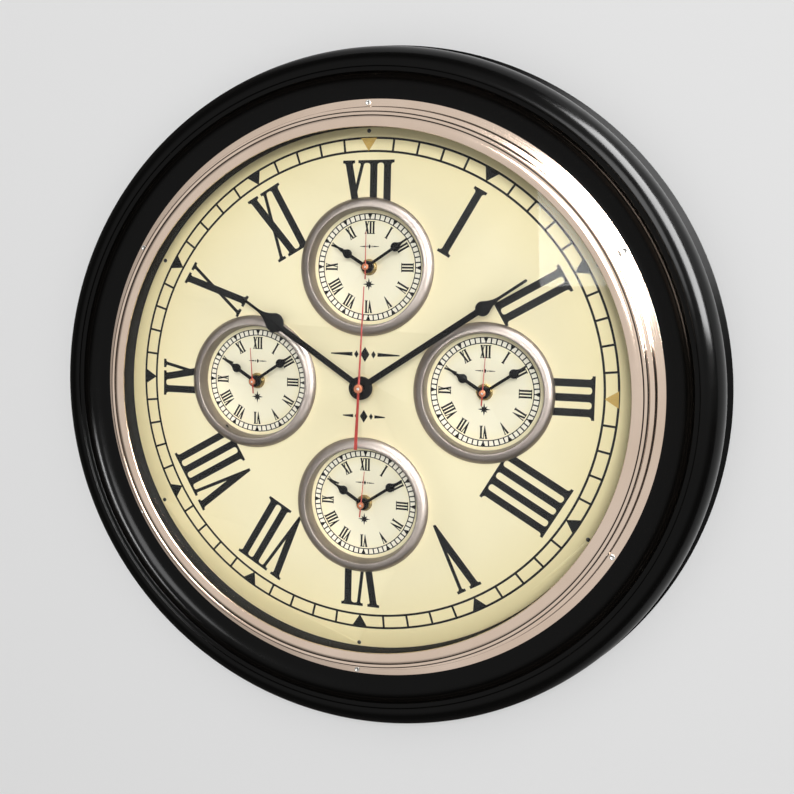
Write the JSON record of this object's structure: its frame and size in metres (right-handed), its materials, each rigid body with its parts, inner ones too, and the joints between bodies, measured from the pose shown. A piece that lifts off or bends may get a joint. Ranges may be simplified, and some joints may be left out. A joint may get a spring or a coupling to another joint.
{
  "type": "world time wall clock",
  "caption": "Round wall clock with a domed glass, a large Roman dial and small dials for other time zones, each with its own geared hands.",
  "frame": {"origin": "centre of the case's back, on the wall plane", "axes": "+Z towards 12 o'clock, +X towards 3 o'clock, -Y out of the dial towards the viewer"},
  "size_m": [0.4572, 0.051, 0.4572],
  "materials": {
    "black_lacquer": "high gloss black lacquer on turned wood",
    "nickel_brass": "polished warm nickel plating on spun brass",
    "satin_steel": "circular brushed, warm grey",
    "clear_glass": "clear domed glass",
    "cream_dial": "cream printed sheet, satin",
    "fibre_board": "raw fibre board",
    "black_steel": "black pin heads",
    "screw_steel": "zinc plated",
    "black_plastic": "moulded, fine grain",
    "gear_plastic": "moulded natural",
    "battery_sleeve": "plain printed sleeve",
    "contact_metal": "nickel plated spring steel",
    "nut_brass": "turned brass",
    "black_hand": "black satin paint",
    "red_hand": "red paint"
  },
  "bodies": {
    "case": {"case_ring": "black_lacquer", "bezel": "nickel_brass", "bezel_screws": "screw_steel", "front_glass": "clear_glass", "dial_plate": "cream_dial", "dial_board": "fibre_board", "dial_pins": "black_steel", "board_screws": "screw_steel", "hanger_plate": "screw_steel", "hanger_screws": "screw_steel", "sub_dial_screws": "screw_steel", "movement_cases": "black_plastic", "movement_covers": "black_plastic", "batteries": "battery_sleeve", "battery_contacts": "contact_metal", "shaft_nuts": "nut_brass", "nut_washers": "nut_brass", "sub_bezel_top": "satin_steel", "sub_dial_top": "cream_dial", "sub_bezel_right": "satin_steel", "sub_dial_right": "cream_dial", "sub_bezel_bottom": "satin_steel", "sub_dial_bottom": "cream_dial", "sub_bezel_left": "satin_steel", "sub_dial_left": "cream_dial"},
    "minute_main": {"minute_hand_main": "black_hand", "centre_arbor_main": "nut_brass"},
    "hour_main": {"hour_hand_main": "black_hand", "hour_wheel_main": "gear_plastic"},
    "second_main": {"second_hand_main": "red_hand", "seconds_arbor_main": "contact_metal"},
    "setting_main": {"setting_wheel_main": "gear_plastic"},
    "minute_top": {"minute_hand_top": "black_hand", "centre_arbor_top": "nut_brass"},
    "hour_top": {"hour_hand_top": "black_hand", "hour_wheel_top": "gear_plastic"},
    "second_top": {"second_hand_top": "red_hand", "seconds_arbor_top": "contact_metal"},
    "setting_top": {"setting_wheel_top": "gear_plastic"},
    "minute_right": {"minute_hand_right": "black_hand", "centre_arbor_right": "nut_brass"},
    "hour_right": {"hour_hand_right": "black_hand", "hour_wheel_right": "gear_plastic"},
    "second_right": {"second_hand_right": "red_hand", "seconds_arbor_right": "contact_metal"},
    "setting_right": {"setting_wheel_right": "gear_plastic"},
    "minute_bottom": {"minute_hand_bottom": "black_hand", "centre_arbor_bottom": "nut_brass"},
    "hour_bottom": {"hour_hand_bottom": "black_hand", "hour_wheel_bottom": "gear_plastic"},
    "second_bottom": {"second_hand_bottom": "red_hand", "seconds_arbor_bottom": "contact_metal"},
    "setting_bottom": {"setting_wheel_bottom": "gear_plastic"},
    "minute_left": {"minute_hand_left": "black_hand", "centre_arbor_left": "nut_brass"},
    "hour_left": {"hour_hand_left": "black_hand", "hour_wheel_left": "gear_plastic"},
    "second_left": {"second_hand_left": "red_hand", "seconds_arbor_left": "contact_metal"},
    "setting_left": {"setting_wheel_left": "gear_plastic"}
  },
  "joints": [
    {"name": "main_minute_turn", "type": "hinge", "parent": "case", "child": "minute_main", "pos_m": [0, -0.026, 0.0032], "axis": [0, 1, 0], "continuous": true},
    {"name": "main_hour_turn", "type": "hinge", "parent": "case", "child": "hour_main", "pos_m": [0, -0.026, 0.0032], "axis": [0, 1, 0], "continuous": true},
    {"name": "main_second_turn", "type": "hinge", "parent": "case", "child": "second_main", "pos_m": [0, -0.026, 0.0032], "axis": [0, 1, 0], "continuous": true},
    {"name": "main_setting_turn", "type": "hinge", "parent": "case", "child": "setting_main", "pos_m": [0, -0.026, 0.0132], "axis": [0, 1, 0], "continuous": true},
    {"name": "top_minute_turn", "type": "hinge", "parent": "case", "child": "minute_top", "pos_m": [0, -0.0202, 0.08191], "axis": [0, 1, 0], "continuous": true},
    {"name": "top_hour_turn", "type": "hinge", "parent": "case", "child": "hour_top", "pos_m": [0, -0.0202, 0.08191], "axis": [0, 1, 0], "continuous": true},
    {"name": "top_second_turn", "type": "hinge", "parent": "case", "child": "second_top", "pos_m": [0, -0.0202, 0.08191], "axis": [0, 1, 0], "continuous": true},
    {"name": "top_setting_turn", "type": "hinge", "parent": "case", "child": "setting_top", "pos_m": [0, -0.0202, 0.09191], "axis": [0, 1, 0], "continuous": true},
    {"name": "right_minute_turn", "type": "hinge", "parent": "case", "child": "minute_right", "pos_m": [0.07871, -0.0202, 0.0032], "axis": [0, 1, 0], "continuous": true},
    {"name": "right_hour_turn", "type": "hinge", "parent": "case", "child": "hour_right", "pos_m": [0.07871, -0.0202, 0.0032], "axis": [0, 1, 0], "continuous": true},
    {"name": "right_second_turn", "type": "hinge", "parent": "case", "child": "second_right", "pos_m": [0.07871, -0.0202, 0.0032], "axis": [0, 1, 0], "continuous": true},
    {"name": "right_setting_turn", "type": "hinge", "parent": "case", "child": "setting_right", "pos_m": [0.07871, -0.0202, 0.0132], "axis": [0, 1, 0], "continuous": true},
    {"name": "bottom_minute_turn", "type": "hinge", "parent": "case", "child": "minute_bottom", "pos_m": [0, -0.0202, -0.07551], "axis": [0, 1, 0], "continuous": true},
    {"name": "bottom_hour_turn", "type": "hinge", "parent": "case", "child": "hour_bottom", "pos_m": [0, -0.0202, -0.07551], "axis": [0, 1, 0], "continuous": true},
    {"name": "bottom_second_turn", "type": "hinge", "parent": "case", "child": "second_bottom", "pos_m": [0, -0.0202, -0.07551], "axis": [0, 1, 0], "continuous": true},
    {"name": "bottom_setting_turn", "type": "hinge", "parent": "case", "child": "setting_bottom", "pos_m": [0, -0.0202, -0.06551], "axis": [0, 1, 0], "continuous": true},
    {"name": "left_minute_turn", "type": "hinge", "parent": "case", "child": "minute_left", "pos_m": [-0.07871, -0.0202, 0.0032], "axis": [0, 1, 0], "continuous": true},
    {"name": "left_hour_turn", "type": "hinge", "parent": "case", "child": "hour_left", "pos_m": [-0.07871, -0.0202, 0.0032], "axis": [0, 1, 0], "continuous": true},
    {"name": "left_second_turn", "type": "hinge", "parent": "case", "child": "second_left", "pos_m": [-0.07871, -0.0202, 0.0032], "axis": [0, 1, 0], "continuous": true},
    {"name": "left_setting_turn", "type": "hinge", "parent": "case", "child": "setting_left", "pos_m": [-0.07871, -0.0202, 0.0132], "axis": [0, 1, 0], "continuous": true}
  ],
  "couplings": [
    {"joint": "main_hour_turn", "follows": "main_minute_turn", "ratio": 0.083333},
    {"joint": "main_second_turn", "follows": "main_minute_turn", "ratio": 60},
    {"joint": "main_setting_turn", "follows": "main_minute_turn", "ratio": -0.33333},
    {"joint": "top_hour_turn", "follows": "top_minute_turn", "ratio": 0.083333},
    {"joint": "top_second_turn", "follows": "top_minute_turn", "ratio": 60},
    {"joint": "top_setting_turn", "follows": "top_minute_turn", "ratio": -0.33333},
    {"joint": "right_hour_turn", "follows": "right_minute_turn", "ratio": 0.083333},
    {"joint": "right_second_turn", "follows": "right_minute_turn", "ratio": 60},
    {"joint": "right_setting_turn", "follows": "right_minute_turn", "ratio": -0.33333},
    {"joint": "bottom_hour_turn", "follows": "bottom_minute_turn", "ratio": 0.083333},
    {"joint": "bottom_second_turn", "follows": "bottom_minute_turn", "ratio": 60},
    {"joint": "bottom_setting_turn", "follows": "bottom_minute_turn", "ratio": -0.33333},
    {"joint": "left_hour_turn", "follows": "left_minute_turn", "ratio": 0.083333},
    {"joint": "left_second_turn", "follows": "left_minute_turn", "ratio": 60},
    {"joint": "left_setting_turn", "follows": "left_minute_turn", "ratio": -0.33333}
  ]
}
